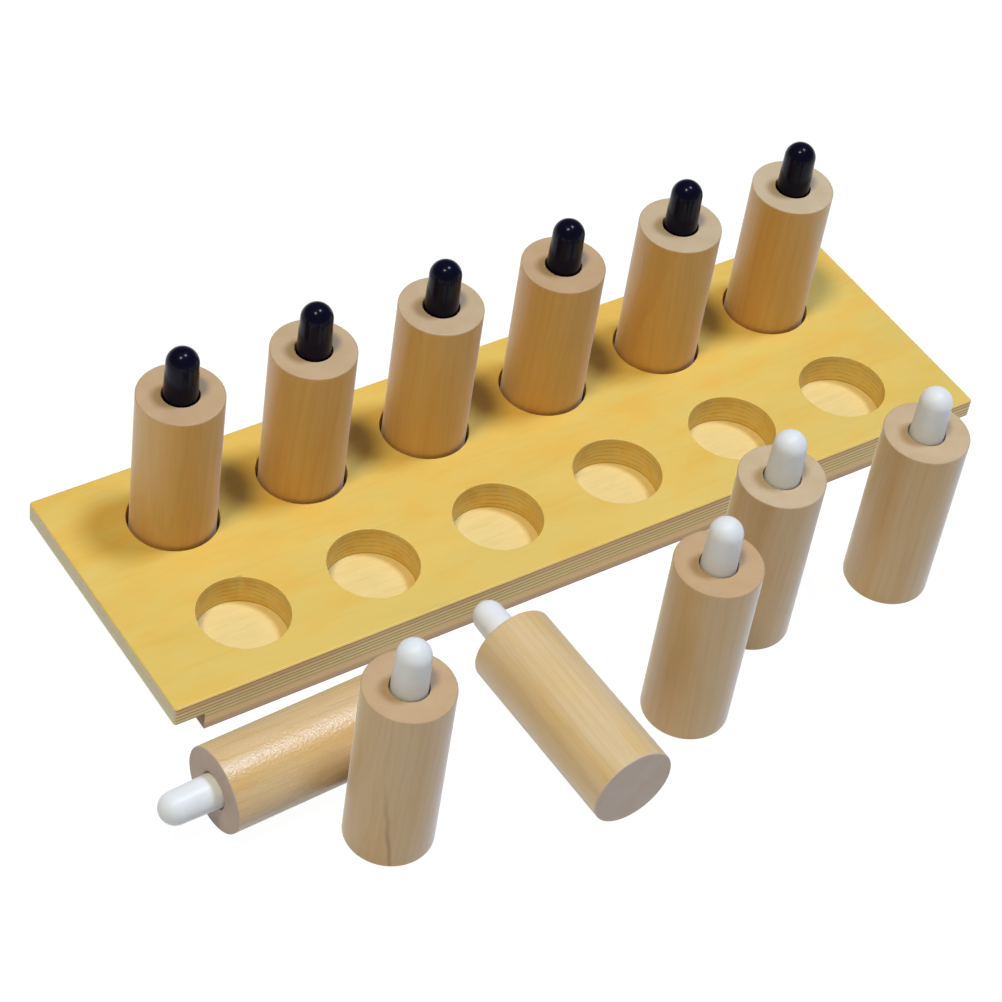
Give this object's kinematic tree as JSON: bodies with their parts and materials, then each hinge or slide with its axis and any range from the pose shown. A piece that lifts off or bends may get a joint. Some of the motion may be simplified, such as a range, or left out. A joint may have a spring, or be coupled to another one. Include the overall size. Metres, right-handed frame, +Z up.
{
  "type": "sensory pressure cylinder set",
  "caption": "Plywood tray of round sockets with turned wooden cylinders, each with a round-nosed knob pressed down against a hidden spring; black knobs in the tray, white beside it.",
  "frame": {"origin": "centre of the tray's underside, on the table plane", "axes": "+X runs along the tray to the right as pictured, +Y towards the back row with the black knobs, +Z up"},
  "size_m": [0.3581, 0.1991, 0.0925],
  "materials": {
    "tray_plywood": "clear-lacquered plywood, faintly figured, with its layers showing at the edges",
    "base_sheet_wood": "thin plain plywood sheet, brownish at its edge",
    "cylinder_wood": "turned hardwood under satin lacquer, with matte end grain",
    "black_knob": "smooth gloss",
    "white_knob": "smooth gloss",
    "spring_steel": "drawn spring wire"
  },
  "bodies": {
    "tray": {"tray_board": "tray_plywood", "base_sheet": "base_sheet_wood"},
    "black_1_body": {"black_1_cylinder": "cylinder_wood", "black_1_base_plug": "cylinder_wood", "black_1_spring": "spring_steel"},
    "black_1_knob": {"black_1_plunger": "black_knob"},
    "black_2_body": {"black_2_cylinder": "cylinder_wood", "black_2_base_plug": "cylinder_wood", "black_2_spring": "spring_steel"},
    "black_2_knob": {"black_2_plunger": "black_knob"},
    "black_3_body": {"black_3_cylinder": "cylinder_wood", "black_3_base_plug": "cylinder_wood", "black_3_spring": "spring_steel"},
    "black_3_knob": {"black_3_plunger": "black_knob"},
    "black_4_body": {"black_4_cylinder": "cylinder_wood", "black_4_base_plug": "cylinder_wood", "black_4_spring": "spring_steel"},
    "black_4_knob": {"black_4_plunger": "black_knob"},
    "black_5_body": {"black_5_cylinder": "cylinder_wood", "black_5_base_plug": "cylinder_wood", "black_5_spring": "spring_steel"},
    "black_5_knob": {"black_5_plunger": "black_knob"},
    "black_6_body": {"black_6_cylinder": "cylinder_wood", "black_6_base_plug": "cylinder_wood", "black_6_spring": "spring_steel"},
    "black_6_knob": {"black_6_plunger": "black_knob"},
    "white_1_body": {"white_1_cylinder": "cylinder_wood", "white_1_base_plug": "cylinder_wood", "white_1_spring": "spring_steel"},
    "white_1_knob": {"white_1_plunger": "white_knob"},
    "white_2_body": {"white_2_cylinder": "cylinder_wood", "white_2_base_plug": "cylinder_wood", "white_2_spring": "spring_steel"},
    "white_2_knob": {"white_2_plunger": "white_knob"},
    "white_3_body": {"white_3_cylinder": "cylinder_wood", "white_3_base_plug": "cylinder_wood", "white_3_spring": "spring_steel"},
    "white_3_knob": {"white_3_plunger": "white_knob"},
    "white_4_body": {"white_4_cylinder": "cylinder_wood", "white_4_base_plug": "cylinder_wood", "white_4_spring": "spring_steel"},
    "white_4_knob": {"white_4_plunger": "white_knob"},
    "white_5_body": {"white_5_cylinder": "cylinder_wood", "white_5_base_plug": "cylinder_wood", "white_5_spring": "spring_steel"},
    "white_5_knob": {"white_5_plunger": "white_knob"},
    "white_6_body": {"white_6_cylinder": "cylinder_wood", "white_6_base_plug": "cylinder_wood", "white_6_spring": "spring_steel"},
    "white_6_knob": {"white_6_plunger": "white_knob"}
  },
  "joints": [
    {"name": "black_1_lift", "type": "slide", "parent": "tray", "child": "black_1_body", "axis": [0, 0, 1], "range_m": [0, 0.095]},
    {"name": "black_1_press", "type": "slide", "parent": "black_1_body", "child": "black_1_knob", "axis": [0, 0, -1], "range_m": [0, 0.014], "stiffness_N_per_m": 104.4, "springref_m": -0.004, "deforming": ["black_1_spring"]},
    {"name": "black_2_lift", "type": "slide", "parent": "tray", "child": "black_2_body", "axis": [0, 0, 1], "range_m": [0, 0.095]},
    {"name": "black_2_press", "type": "slide", "parent": "black_2_body", "child": "black_2_knob", "axis": [0, 0, -1], "range_m": [0, 0.014], "stiffness_N_per_m": 193.5, "springref_m": -0.004, "deforming": ["black_2_spring"]},
    {"name": "black_3_lift", "type": "slide", "parent": "tray", "child": "black_3_body", "axis": [0, 0, 1], "range_m": [0, 0.095]},
    {"name": "black_3_press", "type": "slide", "parent": "black_3_body", "child": "black_3_knob", "axis": [0, 0, -1], "range_m": [0, 0.014], "stiffness_N_per_m": 330, "springref_m": -0.004, "deforming": ["black_3_spring"]},
    {"name": "black_4_lift", "type": "slide", "parent": "tray", "child": "black_4_body", "axis": [0, 0, 1], "range_m": [0, 0.095]},
    {"name": "black_4_press", "type": "slide", "parent": "black_4_body", "child": "black_4_knob", "axis": [0, 0, -1], "range_m": [0, 0.014], "stiffness_N_per_m": 528.7, "springref_m": -0.004, "deforming": ["black_4_spring"]},
    {"name": "black_5_lift", "type": "slide", "parent": "tray", "child": "black_5_body", "axis": [0, 0, 1], "range_m": [0, 0.095]},
    {"name": "black_5_press", "type": "slide", "parent": "black_5_body", "child": "black_5_knob", "axis": [0, 0, -1], "range_m": [0, 0.014], "stiffness_N_per_m": 805.8, "springref_m": -0.004, "deforming": ["black_5_spring"]},
    {"name": "black_6_lift", "type": "slide", "parent": "tray", "child": "black_6_body", "axis": [0, 0, 1], "range_m": [0, 0.095]},
    {"name": "black_6_press", "type": "slide", "parent": "black_6_body", "child": "black_6_knob", "axis": [0, 0, -1], "range_m": [0, 0.014], "stiffness_N_per_m": 1179.7, "springref_m": -0.004, "deforming": ["black_6_spring"]},
    {"name": "white_1_lift", "type": "slide", "parent": "tray", "child": "white_1_body", "axis": [0, 0, 1], "range_m": [0, 0.095]},
    {"name": "white_1_press", "type": "slide", "parent": "white_1_body", "child": "white_1_knob", "axis": [0.9993, 0.0366, 0], "range_m": [0, 0.014], "stiffness_N_per_m": 104.4, "springref_m": -0.004, "deforming": ["white_1_spring"]},
    {"name": "white_2_lift", "type": "slide", "parent": "tray", "child": "white_2_body", "axis": [0, 0, 1], "range_m": [0, 0.095]},
    {"name": "white_2_press", "type": "slide", "parent": "white_2_body", "child": "white_2_knob", "axis": [0, 0, -1], "range_m": [0, 0.014], "stiffness_N_per_m": 193.5, "springref_m": -0.004, "deforming": ["white_2_spring"]},
    {"name": "white_3_lift", "type": "slide", "parent": "tray", "child": "white_3_body", "axis": [0, 0, 1], "range_m": [0, 0.095]},
    {"name": "white_3_press", "type": "slide", "parent": "white_3_body", "child": "white_3_knob", "axis": [0.0236, -0.9997, 0], "range_m": [0, 0.014], "stiffness_N_per_m": 330, "springref_m": -0.004, "deforming": ["white_3_spring"]},
    {"name": "white_4_lift", "type": "slide", "parent": "tray", "child": "white_4_body", "axis": [0, 0, 1], "range_m": [0, 0.095]},
    {"name": "white_4_press", "type": "slide", "parent": "white_4_body", "child": "white_4_knob", "axis": [0, 0, -1], "range_m": [0, 0.014], "stiffness_N_per_m": 528.7, "springref_m": -0.004, "deforming": ["white_4_spring"]},
    {"name": "white_5_lift", "type": "slide", "parent": "tray", "child": "white_5_body", "axis": [0, 0, 1], "range_m": [0, 0.095]},
    {"name": "white_5_press", "type": "slide", "parent": "white_5_body", "child": "white_5_knob", "axis": [0, 0, -1], "range_m": [0, 0.014], "stiffness_N_per_m": 805.8, "springref_m": -0.004, "deforming": ["white_5_spring"]},
    {"name": "white_6_lift", "type": "slide", "parent": "tray", "child": "white_6_body", "axis": [0, 0, 1], "range_m": [0, 0.095]},
    {"name": "white_6_press", "type": "slide", "parent": "white_6_body", "child": "white_6_knob", "axis": [0, 0, -1], "range_m": [0, 0.014], "stiffness_N_per_m": 1179.7, "springref_m": -0.004, "deforming": ["white_6_spring"]}
  ]
}
